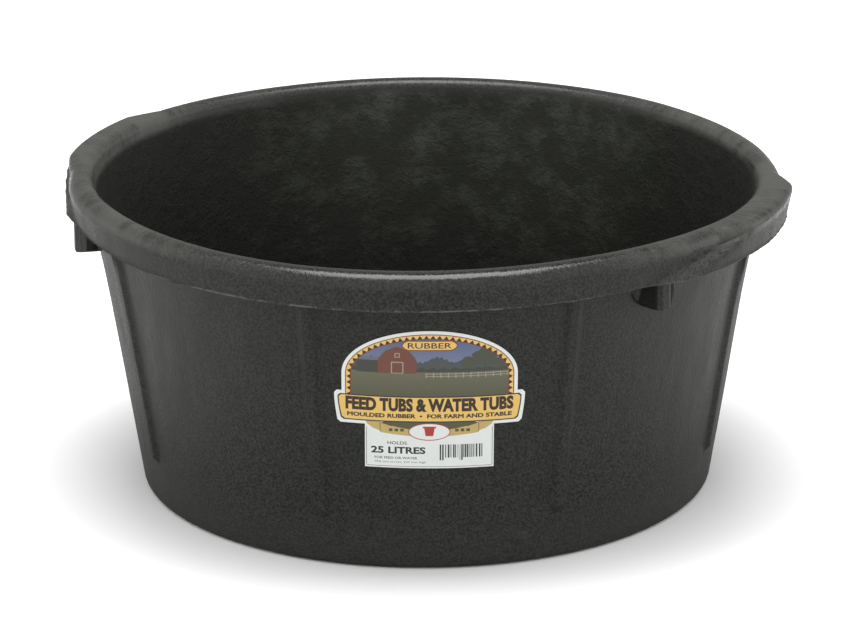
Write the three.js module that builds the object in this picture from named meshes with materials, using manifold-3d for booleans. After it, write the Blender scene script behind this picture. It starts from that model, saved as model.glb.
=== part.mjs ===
// A moulded rubber feed tub with an adhesive label on its front wall.
//
// The origin lies on the tub's axis, on the plane that the base rests on. +Z is up and the label
// faces -Y. Lengths are in millimetres. An azimuth is an angle about the axis in degrees, counted
// from -Y towards +X, so the label is at azimuth 0.

import * as THREE from "three";
import { mergeVertices } from "three/addons/utils/BufferGeometryUtils.js";
import Module from "manifold-3d";

// Body: a cone with a flat floor, a plain wall and a heavy rolled band round the top
const TUB_HEIGHT = 207;
const BAND_RADIUS = 228;
const BAND_HEIGHT = 22.6;
const BAND_ROLL = 9.4; // radius of the band's outer top edge
const MOUTH_RADIUS = 211.1; // inside of the wall, carried up to the rim's top
const BORE_BASE_RADIUS = 181.4; // inside of the wall, carried down to the base plane
const LIP_RADIUS = 6; // rounding of the mouth's edge
const WALL_TOP_RADIUS = 217.1; // outside of the wall, where it meets the band
const WALL_BASE_RADIUS = 188.2; // outside of the wall, carried down to the base plane
const FLOOR_THICKNESS = 7;
const BASE_ROUND = 4.5;
const FLOOR_ROUND = 12;
const SEGMENTS = 96; // facets round the axis

// The rim is a little oval, as if the ears had been pulled outwards
const PULL_REACH = 5.2; // how far the rim stands out there
const PULL_AZIMUTH = 83;
const PULL_START_Z = 120; // the wall is round below this height

// Eight upright ribs on the outside of the wall
const RIB_COUNT = 8;
const FIRST_RIB_AZIMUTH = 25;
const RIB_WIDTH = 13;
const RIB_HEIGHT = 3;
const RIB_FLANK = 2.5; // width of each sloping side
const RIB_ROOT = 1.5; // part of the rib's full section that is sunk into the wall
const RIB_BOTTOM_Z = 33;

// Two flat ears on the rim, for the hands
const EAR_AZIMUTHS = [70, 250];
const EAR_REACH = 11.6; // how far an ear stands out from the band
const EAR_SHOULDER = 3; // how far it stands out where the steep flank ends
const EAR_HALF_ANGLE = 10.5;
const EAR_FLANK_ANGLE = 17;
const EAR_FADE_ANGLE = 27;
const EAR_ROLL = 3.5;
const EAR_DRAFT = 2;

// Three gussets under the band
const GUSSET_AZIMUTHS = [41, 161, 281];
const GUSSET_DROP = 18.6; // depth below the band
const GUSSET_HALF_SPAN = 20; // half the width of its rounded outline seen from the front
const GUSSET_HALF_WIDTH = 18.3; // where it leaves the wall
const GUSSET_HALF_EDGE = 3; // at its outer end face

// Die-cut label: an arch, a wide banner under it and a narrower panel at the bottom
const LABEL_GAP = 0.3;
const LABEL_THICKNESS = 0.5;
const LABEL_OFFSET = 2.3;
const ARCH_TOP_Z = 167.6;
const ARCH_SPRING_Z = 136.6;
const ARCH_HALF_WIDTH = 54.4;
const BANNER_TOP_Z = 124.4;
const BANNER_BOTTOM_Z = 102.2;
const BANNER_HALF_TOP = 59.1;
const BANNER_HALF_BOTTOM = 56.8;
const PANEL_BOTTOM_Z = 72.2;
const PANEL_HALF_WIDTH = 40;

const OVERLAP = 4; // how far an added shape is sunk into what it joins

const wasm = await Module();
wasm.setup();

const radians = THREE.MathUtils.degToRad;
const bandBottomZ = TUB_HEIGHT - BAND_HEIGHT;
const wallSlope = (WALL_TOP_RADIUS - WALL_BASE_RADIUS) / bandBottomZ;

// Outside radius of the plain wall at height z
function wallRadius(z) {
  return WALL_BASE_RADIUS + wallSlope * z;
}

// A closed three.js geometry as a solid that can be joined and cut
function solid(geometry) {
  geometry.deleteAttribute("normal");
  geometry.deleteAttribute("uv");
  const merged = mergeVertices(geometry, 1e-4);
  const vertProperties = new Float32Array(merged.attributes.position.array);
  const triVerts = new Uint32Array(merged.index.array);
  return new wasm.Manifold(new wasm.Mesh({ numProp: 3, vertProperties, triVerts }));
}

function geometryOf(manifold) {
  const mesh = manifold.getMesh();
  const geometry = new THREE.BufferGeometry();
  geometry.setAttribute("position", new THREE.BufferAttribute(mesh.vertProperties, 3));
  geometry.setIndex(new THREE.BufferAttribute(mesh.triVerts, 1));
  geometry.computeVertexNormals();
  return geometry;
}

// An outline through corners [x, y, radius, steps], each corner rounded by its radius
function roundedOutline(corners) {
  const points = [];
  corners.forEach(([x, y, radius = 0, steps = 1], i) => {
    const corner = new THREE.Vector2(x, y);
    if (radius === 0) {
      points.push(corner);
      return;
    }
    const before = new THREE.Vector2(...corners[i - 1].slice(0, 2)).sub(corner).normalize();
    const after = new THREE.Vector2(...corners[i + 1].slice(0, 2)).sub(corner).normalize();
    const halfAngle = Math.acos(before.dot(after)) / 2;
    const middle = before.clone().add(after).normalize();
    const centre = middle.multiplyScalar(radius / Math.sin(halfAngle)).add(corner);
    const start = before.multiplyScalar(radius / Math.tan(halfAngle)).add(corner).sub(centre);
    const turn = Math.sign(start.cross(after)) * (Math.PI - 2 * halfAngle);
    for (let step = 0; step <= steps; step += 1) {
      points.push(start.clone().rotateAround(new THREE.Vector2(), (turn * step) / steps).add(centre));
    }
  });
  return points;
}

// Moves the points of a round shell outwards near the ears, more and more towards the top
function pulled(geometry) {
  const points = geometry.attributes.position;
  for (let i = 0; i < points.count; i += 1) {
    const [x, y, z] = [points.getX(i), points.getY(i), points.getZ(i)];
    const rise = Math.max(0, z - PULL_START_Z) / (TUB_HEIGHT - PULL_START_Z);
    const away = Math.atan2(x, -y) - radians(PULL_AZIMUTH);
    const out = PULL_REACH * rise ** 3 * Math.abs(Math.cos(away)) ** 3;
    const scale = 1 + out / Math.max(1, Math.hypot(x, y));
    points.setXY(i, x * scale, y * scale);
  }
  return geometry;
}

// A profile [radius, height, ...] turned about +Z
function turned(corners) {
  return new THREE.LatheGeometry(roundedOutline(corners), SEGMENTS).rotateX(Math.PI / 2);
}

function body() {
  const boreSlope = (MOUTH_RADIUS - BORE_BASE_RADIUS) / TUB_HEIGHT;
  const boreAtFloor = BORE_BASE_RADIUS + boreSlope * FLOOR_THICKNESS;
  return turned([
    [0, 0],
    [WALL_BASE_RADIUS, 0, BASE_ROUND, 3],
    [WALL_TOP_RADIUS, bandBottomZ],
    [BAND_RADIUS, bandBottomZ],
    [BAND_RADIUS, TUB_HEIGHT, BAND_ROLL, 5],
    [MOUTH_RADIUS, TUB_HEIGHT, LIP_RADIUS, 4],
    [boreAtFloor, FLOOR_THICKNESS, FLOOR_ROUND, 4],
    [0, FLOOR_THICKNESS],
  ]);
}

// A point in plan at a radius and azimuth
function planPoint(radius, azimuth) {
  const angle = radians(azimuth);
  return new THREE.Vector2(radius * Math.sin(angle), -radius * Math.cos(angle));
}

// A front outline (across, up) made into a slab that runs from the axis outwards along -Y
function slab(outline, options) {
  return new THREE.ExtrudeGeometry(outline, options).rotateX(Math.PI / 2);
}

// One rib: an upright bar with a round foot, sloping sides and its back sunk into the wall
function rib(azimuth) {
  const half = RIB_WIDTH / 2;
  const length = (bandBottomZ + OVERLAP - RIB_BOTTOM_Z) * Math.hypot(1, wallSlope);
  const outline = new THREE.Shape();
  outline.moveTo(half, length);
  outline.lineTo(-half, length);
  outline.lineTo(-half, half);
  outline.absarc(0, half, half, Math.PI, 2 * Math.PI, false);
  const bar = slab(outline, {
    depth: RIB_ROOT,
    bevelThickness: RIB_HEIGHT,
    bevelSize: RIB_FLANK,
    bevelOffset: -RIB_FLANK,
    bevelSegments: 1,
    curveSegments: 8,
  });
  bar.rotateX(Math.atan(wallSlope));
  bar.translate(0, RIB_ROOT - wallRadius(RIB_BOTTOM_Z), RIB_BOTTOM_Z);
  return solid(bar.rotateZ(radians(azimuth)));
}

// The solid of revolution that rounds the top edge of both ears
function earTrim() {
  const radius = BAND_RADIUS + EAR_REACH;
  return solid(
    turned([
      [0, bandBottomZ],
      [radius - EAR_DRAFT, bandBottomZ],
      [radius, TUB_HEIGHT, EAR_ROLL, 3],
      [0, TUB_HEIGHT],
    ]),
  );
}

// One ear: a level tab with a steep flank and a long fading shoulder on each side
function ear(azimuth) {
  const side = [
    [EAR_HALF_ANGLE / 3, EAR_REACH],
    [EAR_HALF_ANGLE, EAR_REACH],
    [EAR_FLANK_ANGLE, EAR_SHOULDER],
    [EAR_FADE_ANGLE, 0],
  ];
  const outer = [...side.map(([angle, reach]) => [-angle, reach]).reverse(), ...side];
  const outerPoints = outer.map(([angle, reach]) => planPoint(BAND_RADIUS + reach, azimuth + angle));
  const root = BAND_RADIUS - BAND_ROLL - OVERLAP;
  const rootPoints = outer.map(([angle]) => planPoint(root, azimuth + angle)).reverse();
  const outline = new THREE.Shape([...outerPoints, ...rootPoints]);
  const block = new THREE.ExtrudeGeometry(outline, { depth: BAND_HEIGHT, bevelEnabled: false });
  block.translate(0, 0, bandBottomZ);
  return solid(block).intersect(earTrim());
}

// One gusset: a wedge in plan, cut to a round-bottomed shape as seen from outside
function gusset(azimuth) {
  const run = BAND_RADIUS - wallRadius(bandBottomZ);
  const spread = (GUSSET_HALF_WIDTH - GUSSET_HALF_EDGE) / run;
  const root = BAND_RADIUS - run - OVERLAP;
  const halfRoot = GUSSET_HALF_WIDTH + OVERLAP * spread;
  const plan = new THREE.Shape();
  plan.moveTo(-halfRoot, -root);
  plan.lineTo(-GUSSET_HALF_EDGE, -BAND_RADIUS);
  plan.lineTo(GUSSET_HALF_EDGE, -BAND_RADIUS);
  plan.lineTo(halfRoot, -root);
  const wedge = new THREE.ExtrudeGeometry(plan, {
    depth: GUSSET_DROP + OVERLAP,
    bevelEnabled: false,
  });
  wedge.translate(0, 0, bandBottomZ - GUSSET_DROP);
  const front = new THREE.Shape();
  front.moveTo(GUSSET_HALF_SPAN, bandBottomZ + OVERLAP);
  front.lineTo(-GUSSET_HALF_SPAN, bandBottomZ + OVERLAP);
  front.absellipse(0, bandBottomZ, GUSSET_HALF_SPAN, GUSSET_DROP, Math.PI, 2 * Math.PI, false, 0);
  const cutter = slab(front, { depth: BAND_RADIUS + OVERLAP, bevelEnabled: false, curveSegments: 10 });
  const shaped = solid(wedge).intersect(solid(cutter));
  return shaped.rotate([0, 0, azimuth]);
}

function tub() {
  const added = [...EAR_AZIMUTHS.map(ear), ...GUSSET_AZIMUTHS.map(gusset)];
  for (let i = 0; i < RIB_COUNT; i += 1) {
    added.push(rib(FIRST_RIB_AZIMUTH + (360 / RIB_COUNT) * i));
  }
  return added.reduce((whole, piece) => whole.add(piece), solid(pulled(body())));
}

// The label's die-cut outline as seen from the front
function labelOutline() {
  const outline = new THREE.Shape();
  outline.moveTo(-PANEL_HALF_WIDTH, PANEL_BOTTOM_Z);
  outline.lineTo(PANEL_HALF_WIDTH, PANEL_BOTTOM_Z);
  outline.lineTo(PANEL_HALF_WIDTH, BANNER_BOTTOM_Z);
  outline.lineTo(BANNER_HALF_BOTTOM, BANNER_BOTTOM_Z);
  outline.lineTo(BANNER_HALF_TOP, BANNER_TOP_Z);
  outline.lineTo(ARCH_HALF_WIDTH, BANNER_TOP_Z);
  const archRise = ARCH_TOP_Z - ARCH_SPRING_Z;
  outline.absellipse(0, ARCH_SPRING_Z, ARCH_HALF_WIDTH, archRise, 0, Math.PI, false, 0);
  outline.lineTo(-ARCH_HALF_WIDTH, BANNER_TOP_Z);
  outline.lineTo(-BANNER_HALF_TOP, BANNER_TOP_Z);
  outline.lineTo(-BANNER_HALF_BOTTOM, BANNER_BOTTOM_Z);
  outline.lineTo(-PANEL_HALF_WIDTH, BANNER_BOTTOM_Z);
  return outline;
}

// The label: a thin cone that lies on the wall, cut to the outline
function label() {
  const low = PANEL_BOTTOM_Z - OVERLAP;
  const high = ARCH_TOP_Z + OVERLAP;
  const inside = LABEL_GAP;
  const outside = LABEL_GAP + LABEL_THICKNESS;
  const skin = turned([
    [wallRadius(low) + inside, low],
    [wallRadius(low) + outside, low],
    [wallRadius(high) + outside, high],
    [wallRadius(high) + inside, high],
    [wallRadius(low) + inside, low],
  ]);
  const cutter = slab(labelOutline(), { depth: BAND_RADIUS, bevelEnabled: false, curveSegments: 24 });
  cutter.translate(LABEL_OFFSET, 0, 0);
  return solid(skin).intersect(solid(cutter));
}

function piece(name, manifold, color, roughness) {
  const material = new THREE.MeshStandardMaterial({ color, roughness, metalness: 0 });
  const mesh = new THREE.Mesh(geometryOf(manifold), material);
  mesh.name = name;
  return mesh;
}

const feedTub = new THREE.Group();
feedTub.add(piece("tub", tub(), 0x2b2c2a, 0.7));
feedTub.add(piece("label", label(), 0xd8c08a, 0.4));

export default feedTub;
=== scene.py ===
# %% [markdown]
# # A moulded rubber feed tub
#
# A stable tub is pressed from black crumb rubber in one closed mould: wall, floor, rim, ribs and ears
# are one piece. A printed sticker on the front is the only other part. This lesson builds both around
# a CAD frame that is already fixed. The shell is a turned profile that a node tree bends round the
# axis and shapes with a few rules, which keeps every size in one place and easy to change.

# %% Load the frame
from math import atan, cos, hypot, pi, radians, sin, sqrt

import bpy
import numpy as np
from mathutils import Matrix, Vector
from mathutils.geometry import delaunay_2d_cdt


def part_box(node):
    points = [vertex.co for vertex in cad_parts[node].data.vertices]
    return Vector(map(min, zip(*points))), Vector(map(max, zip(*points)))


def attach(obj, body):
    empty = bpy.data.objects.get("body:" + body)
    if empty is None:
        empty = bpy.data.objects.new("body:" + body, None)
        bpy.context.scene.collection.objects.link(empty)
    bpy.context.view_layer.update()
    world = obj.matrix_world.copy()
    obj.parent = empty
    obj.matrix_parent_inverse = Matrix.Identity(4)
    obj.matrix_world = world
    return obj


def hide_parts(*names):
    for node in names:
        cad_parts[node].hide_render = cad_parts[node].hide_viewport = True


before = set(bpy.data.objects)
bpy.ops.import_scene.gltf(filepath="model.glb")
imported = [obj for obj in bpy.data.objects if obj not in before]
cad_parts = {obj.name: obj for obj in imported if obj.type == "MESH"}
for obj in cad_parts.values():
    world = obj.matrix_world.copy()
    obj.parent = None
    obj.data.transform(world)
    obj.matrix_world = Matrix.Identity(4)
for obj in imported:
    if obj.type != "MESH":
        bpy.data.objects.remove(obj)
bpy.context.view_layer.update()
MM = 0.001

# %% [markdown]
# ## Sizes
#
# The overall height and the radius of the rim band come from the frame, so the looks can't drift away
# from the part. The rest are the mould's own sizes, in metres. An azimuth is an angle about the axis,
# counted from the front (-Y) towards the right (+X).

# %% Sizes of the tub
_, tub_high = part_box("tub")
TOP = tub_high.z
BAND_RADIUS = tub_high.y
BAND_HEIGHT = 22.6 * MM
BAND_BOTTOM = TOP - BAND_HEIGHT
MOUTH_RADIUS = 211.1 * MM
LIP_RADIUS = 6 * MM
WALL_TOP_RADIUS = 217.1 * MM
WALL_BASE_RADIUS = 188.2 * MM
BORE_BASE_RADIUS = 181.4 * MM
FLOOR = 7 * MM
BASE_ROUND = 4.5 * MM
FLOOR_ROUND = 12 * MM
SLOPE = (WALL_TOP_RADIUS - WALL_BASE_RADIUS) / BAND_BOTTOM
BORE_SLOPE = (MOUTH_RADIUS - BORE_BASE_RADIUS) / TOP


def wall_radius(height):
    """Outside radius of the plain wall."""
    return WALL_BASE_RADIUS + SLOPE * height


def inner_radius(height):
    """Inside radius of the plain wall."""
    return BORE_BASE_RADIUS + BORE_SLOPE * height


print(f"band {2000 * BAND_RADIUS:.0f} mm across, {1000 * TOP:.0f} mm high, draft {SLOPE:.3f}")

# %% [markdown]
# ## Node trees that read like sums
#
# A node tree built in a script soon turns into pages of links. The small class below wraps a node's
# output, so that `a * b + c` makes the two Math nodes and joins them up. It works in geometry trees
# and in shader trees alike.

# %% A wire that can be used in arithmetic


def plug(tree, value, socket):
    """Joins a wire to a socket, or sets a plain value on it."""
    if isinstance(value, Wire):
        tree.links.new(value.socket, socket)
    elif isinstance(value, bpy.types.NodeSocket):
        tree.links.new(value, socket)
    else:
        socket.default_value = value


class Wire:
    """A node's output that can be added, multiplied and compared."""

    def __init__(self, tree, socket):
        self.tree = tree
        self.socket = socket

    def math(self, operation, *others, first=None):
        node = self.tree.nodes.new("ShaderNodeMath")
        node.operation = operation
        values = (self, *others) if first is None else (first, self)
        for socket, value in zip(node.inputs, values):
            plug(self.tree, value, socket)
        return Wire(self.tree, node.outputs[0])

    def __add__(self, other):
        return self.math("ADD", other)

    def __sub__(self, other):
        return self.math("SUBTRACT", other)

    def __mul__(self, other):
        return self.math("MULTIPLY", other)

    def __truediv__(self, other):
        return self.math("DIVIDE", other)

    def __rsub__(self, other):
        return self.math("SUBTRACT", first=other)

    def __rtruediv__(self, other):
        return self.math("DIVIDE", first=other)

    __radd__ = __add__
    __rmul__ = __mul__


def node(tree, kind, inputs=None, **settings):
    """Adds a node, sets its options, and plugs values or wires into its named inputs."""
    made = tree.nodes.new(kind)
    for name, value in settings.items():
        setattr(made, name, value)
    for name, value in (inputs or {}).items():
        plug(tree, value, made.inputs[name])
    return made


def wire(tree, kind, output, inputs=None, **settings):
    """Adds a node and returns one of its outputs as a wire."""
    return Wire(tree, node(tree, kind, inputs, **settings).outputs[output])


def ramp(tree, value, start, end, low=0.0, high=1.0, soft=True):
    """Maps a range to another and holds it at both ends, with eased ends when soft."""
    ease = "SMOOTHSTEP" if soft else "LINEAR"
    inputs = {"Value": value, "From Min": start, "From Max": end, "To Min": low, "To Max": high}
    return wire(tree, "ShaderNodeMapRange", "Result", inputs, interpolation_type=ease)


def noise(tree, vector, scale, detail=2.0, roughness=0.5, output="Fac"):
    """Noise at a place in metres; scale is waves per metre."""
    inputs = {"Vector": vector, "Scale": scale, "Detail": detail, "Roughness": roughness}
    return wire(tree, "ShaderNodeTexNoise", output, inputs)


SOCKETS = {float: "NodeSocketFloat", int: "NodeSocketInt", tuple: "NodeSocketColor"}


def new_tree(name, kind, inputs, outputs):
    """A node group with named inputs and outputs, and its two end nodes."""
    tree = bpy.data.node_groups.new(name, kind)
    for side, names in (("INPUT", inputs), ("OUTPUT", outputs)):
        for label, default in names.items():
            socket_type = default if isinstance(default, str) else SOCKETS[type(default)]
            made = tree.interface.new_socket(name=label, in_out=side, socket_type=socket_type)
            if side == "INPUT" and not isinstance(default, str):
                made.default_value = default
    start = tree.nodes.new("NodeGroupInput")
    end = tree.nodes.new("NodeGroupOutput")
    return tree, start, end


print("helpers ready")

# %% [markdown]
# ## The profile
#
# A turner would draw half of the tub's cross-section and spin it. The same is done here, but each
# station of the profile also carries a few shares, which say how much it takes part in what changes
# round the tub: the ribs, the ears, the roll of the rim, the ragged flash and the slow unevenness.

# %% Stations along the profile
SHARES = ("span", "level", "roll_out", "roll_up", "rib", "ear", "flash", "mouth", "sway")
EAR_DRAFT = 0.17  # part of an ear's reach that is lost at the band's bottom


def station(radius, height, **shares):
    """One station; the higher it is, the more it takes part in the slow unevenness."""
    shares["sway"] = height / TOP if radius > 0 else 0
    return np.array([radius, height] + [shares.get(name, 0.0) for name in SHARES[2:]])


def between(first, last, steps):
    """Evenly spaced stations from one towards the other, without the last."""
    return [first + (last - first) * i / steps for i in range(steps)]


def arc(centre, radius, start, end, steps, **shares):
    """Stations on a round corner, from one angle to another, without the last."""
    turns = np.linspace(start, end, steps + 1)[:-1]
    return [station(centre[0] + radius * cos(a), centre[1] + radius * sin(a), **shares) for a in turns]


def outside_stations():
    """The floor's underside, the base corner and the ribbed wall."""
    lean = atan(SLOPE)
    base_centre = WALL_BASE_RADIUS - BASE_ROUND * (1 / cos(lean) - SLOPE)
    foot = station(wall_radius(28 * MM), 28 * MM, rib=1)
    rib_foot_end = station(wall_radius(48 * MM), 48 * MM, rib=1)
    wall_top = station(WALL_TOP_RADIUS, BAND_BOTTOM, rib=1)
    corner = arc((base_centre, BASE_ROUND), BASE_ROUND, -pi / 2, -lean, 5)
    wall_start = BASE_ROUND * (1 - sin(lean))
    low = station(wall_radius(wall_start), wall_start)
    return [
        *between(station(0, 0), station(base_centre, 0), 7),
        *corner,
        *between(low, foot, 5),
        *between(foot, rib_foot_end, 11),
        *between(rib_foot_end, wall_top, 25),
    ]


def band_stations():
    """The underside of the band, the flash along its edge, its face, the roll and the rim's top."""
    kept = 1 - EAR_DRAFT
    wall_top = station(WALL_TOP_RADIUS, BAND_BOTTOM, rib=1)
    edge = station(BAND_RADIUS, BAND_BOTTOM, ear=kept)
    flash = station(BAND_RADIUS + 0.3 * MM, BAND_BOTTOM - 0.1 * MM, ear=kept, flash=1)
    flash_root = station(BAND_RADIUS, BAND_BOTTOM + 0.7 * MM, ear=kept)
    face_top = station(BAND_RADIUS, TOP, ear=1, roll_up=-1)
    roll = []
    for turn in np.linspace(0, pi / 2, 10)[:-1]:
        roll.append(station(BAND_RADIUS, TOP, ear=1, roll_out=cos(turn) - 1, roll_up=sin(turn) - 1))
    roll_end = station(BAND_RADIUS, TOP, ear=1, roll_out=-1)
    lip_middle = inner_radius(TOP - LIP_RADIUS) + LIP_RADIUS * hypot(1, BORE_SLOPE)
    lip_start = station(lip_middle, TOP, mouth=1)
    return [
        *between(wall_top, edge, 4),
        *between(edge, flash, 1),
        *between(flash, flash_root, 1),
        *between(flash_root, face_top, 5),
        *roll,
        *between(roll_end, lip_start, 3),
    ]


def inside_stations():
    """The lip of the mouth, the inner wall, the round inner corner and the floor."""
    lean = atan(BORE_SLOPE)
    lip_centre = (inner_radius(TOP - LIP_RADIUS) + LIP_RADIUS / cos(lean), TOP - LIP_RADIUS)
    lip = arc(lip_centre, LIP_RADIUS, pi / 2, pi - lean, 9, mouth=1)
    round_height = FLOOR + FLOOR_ROUND
    round_centre = inner_radius(round_height) - FLOOR_ROUND / cos(lean)
    corner = arc((round_centre, round_height), FLOOR_ROUND, -lean, -pi / 2, 7)
    lip_end = TOP - LIP_RADIUS * (1 - sin(lean))
    top = station(inner_radius(lip_end), lip_end, mouth=1)
    low_height = round_height - FLOOR_ROUND * sin(lean)
    low = station(inner_radius(low_height), low_height, mouth=1)
    floor_edge = station(round_centre, FLOOR)
    return [
        *lip,
        *between(top, low, 18),
        *corner,
        *between(floor_edge, station(0, FLOOR), 8),
        station(0, FLOOR),
    ]


profile = np.array(outside_stations() + band_stations() + inside_stations())
print(f"profile of {len(profile)} stations")

# %% Write the profile as a chain of edges that carries the shares


def chain_object(name, rows):
    """A mesh chain with one named attribute for each column of rows."""
    mesh = bpy.data.meshes.new(name)
    points = [(row[0], row[1], 0) for row in rows]
    mesh.from_pydata(points, [(i, i + 1) for i in range(len(points) - 1)], [])
    for column, share in enumerate(SHARES):
        layer = mesh.attributes.new(share, "FLOAT", "POINT")
        layer.data.foreach_set("value", rows[:, column].astype(np.float32))
    made = bpy.data.objects.new(name, mesh)
    bpy.context.scene.collection.objects.link(made)
    return made


tub = chain_object("rubber_tub", profile)
print("chain has", len(tub.data.edges), "edges")

# %% [markdown]
# ## Ribs, ears and unevenness by rule
#
# The tree sweeps the chain round a circle and then puts every point where the rules say. A rib is a
# low ridge whose height depends only on the distance to its centre line, so eight of them cost one
# formula. An ear pushes the band outwards near its azimuth and sharpens the roll there. The columns
# are closer together near the ribs, because that is where the surface bends most.

# %% Fields used by the tree
PULL_AZIMUTH = radians(83)
PULL_START = 120 * MM


def attribute(tree, name):
    return wire(tree, "GeometryNodeInputNamedAttribute", "Attribute", {"Name": name})


def nearest_offset(value, pitch):
    """How far a value lies from the nearest whole multiple of the pitch."""
    cycles = value / pitch
    return (cycles - cycles.math("ROUND")) * pitch


def rib_field(tree, sizes, azimuth, radius, height):
    """Height of the ribs above the wall."""
    pitch = 2 * pi / sizes["Ribs"]
    across = nearest_offset(azimuth - sizes["First Rib"], pitch) * radius
    half = sizes["Rib Width"] * 0.5
    below = (sizes["Rib Foot"] + half - height).math("MAXIMUM", 0.0)
    distance = (across * across + below * below).math("SQRT")
    return ramp(tree, distance, half, half - sizes["Rib Flank"], 0.0, sizes["Rib Height"])


def ear_fields(tree, sizes, azimuth, height):
    """How far an ear stands out, and how steep it is there, from 0 to 1. Its foot reaches forwards."""
    left = ramp(tree, azimuth.math("SINE"), 0.3, -0.3)
    offset = nearest_offset(azimuth - sizes["First Ear"], pi)
    ahead = ramp(tree, offset * (left * 2.0 - 1.0), 0.0, radians(5))
    drop = ramp(tree, height, TOP, BAND_BOTTOM, soft=False)
    away = offset.math("ABSOLUTE") - drop * ahead * sizes["Ear Splay"]
    steep = ramp(tree, away, radians(17.8), radians(11.2), soft=False)
    fade = ramp(tree, away, radians(30), radians(15.5))
    reach = fade * sizes["Ear Shoulder"] + steep * (sizes["Ear Reach"] - sizes["Ear Shoulder"])
    return reach * (1.0 - left * sizes["Ear Unevenness"]), steep


def ragged_field(tree, place):
    """Ragged edge of the flash, with a nib here and there."""
    fine = ramp(tree, noise(tree, place, 210, 3, 0.65), 0.42, 0.78, 0.0, 0.9 * MM, soft=False)
    nibs = ramp(tree, noise(tree, place, 60, 1), 0.66, 0.74, 0.0, 1.3 * MM, soft=False)
    return fine + nibs


def pull_field(tree, sizes, azimuth, share):
    """How far the shell is pulled outwards near the ears: more at the top, most at the mouth."""
    rise = ramp(tree, share["level"], PULL_START, TOP, soft=False)
    near = (azimuth - PULL_AZIMUTH).math("COSINE").math("ABSOLUTE")
    near = near * near * near
    return rise * rise * near * (sizes["Rim Pull"] + share["mouth"] * near * sizes["Mouth Spread"])


def sag_field(azimuth):
    """A soft rim never lies quite level: slow waves round it, a millimetre or so high."""
    wave = 0.4 * MM - azimuth.math("SINE") * (1.2 * MM)
    wave = wave + (azimuth * 2).math("SINE") * (0.55 * MM) - (azimuth * 2).math("COSINE") * (0.5 * MM)
    return wave + (azimuth * 3).math("SINE") * (0.7 * MM)


print("field rules ready")

# %% The tree that turns the profile
SHELL_INPUTS = {
    "Geometry": "NodeSocketGeometry",
    "Columns": 720,
    "Column Bunching": 0.65,
    "Ribs": 8.0,
    "First Rib": 0.0,
    "Rib Width": 0.013,
    "Rib Height": 0.003,
    "Rib Flank": 0.004,
    "Rib Foot": 0.033,
    "First Ear": 0.0,
    "Ear Reach": 0.0080,
    "Ear Shoulder": 0.0003,
    "Ear Splay": radians(16),
    "Ear Unevenness": 0.42,
    "Rim Pull": 0.0050,
    "Mouth Spread": 0.0030,
    "Band Roll": 0.0094,
    "Ear Roll": 0.0050,
    "Sway": 0.0006,
    "Gusset": "NodeSocketObject",
    "Gussets": 3,
    "First Gusset": 0.0,
    "Gusset Shift": 0.004,
    "Material": "NodeSocketMaterial",
}


def azimuth_of_column(tree, sizes):
    """Azimuth of each column, bunched towards the ribs."""
    index = wire(tree, "GeometryNodeInputIndex", "Index")
    cycle = index / sizes["Columns"] * sizes["Ribs"]
    whole = cycle.math("FLOOR")
    part = cycle - whole
    bunched = part - (part * (2 * pi)).math("SINE") * sizes["Column Bunching"] * (0.5 / pi)
    return (whole + bunched) * (2 * pi / sizes["Ribs"]) + sizes["First Rib"]


def turned_shell_tree():
    tree, start, end = new_tree(
        "Turned shell", "GeometryNodeTree", SHELL_INPUTS, {"Geometry": "NodeSocketGeometry"}
    )
    sizes = {name: Wire(tree, start.outputs[name]) for name in SHELL_INPUTS}
    circle = node(
        tree, "GeometryNodeCurvePrimitiveCircle", {"Resolution": sizes["Columns"], "Radius": 1.0}
    )
    columns = node(
        tree,
        "GeometryNodeStoreNamedAttribute",
        {"Geometry": circle.outputs["Curve"], "Name": "azimuth"},
    )
    plug(tree, azimuth_of_column(tree, sizes), columns.inputs["Value"])
    chain = node(tree, "GeometryNodeMeshToCurve", {"Mesh": sizes["Geometry"]})
    sweep = node(
        tree,
        "GeometryNodeCurveToMesh",
        {"Curve": columns.outputs["Geometry"], "Profile Curve": chain.outputs["Curve"]},
    )
    place = shell_position(tree, sizes)
    shaped = node(tree, "GeometryNodeSetPosition", {"Geometry": sweep.outputs["Mesh"], "Position": place})
    outwards = node(tree, "GeometryNodeFlipFaces", {"Mesh": shaped.outputs[0]})
    closed = node(tree, "GeometryNodeMergeByDistance", {"Geometry": outwards.outputs[0], "Distance": 1e-5})
    whole = with_gussets(tree, sizes, closed.outputs[0])
    smooth = node(tree, "GeometryNodeSetShadeSmooth", {"Geometry": whole})
    coated = node(
        tree,
        "GeometryNodeSetMaterial",
        {"Geometry": smooth.outputs[0], "Material": sizes["Material"]},
    )
    plug(tree, coated.outputs[0], end.inputs["Geometry"])
    return tree


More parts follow.
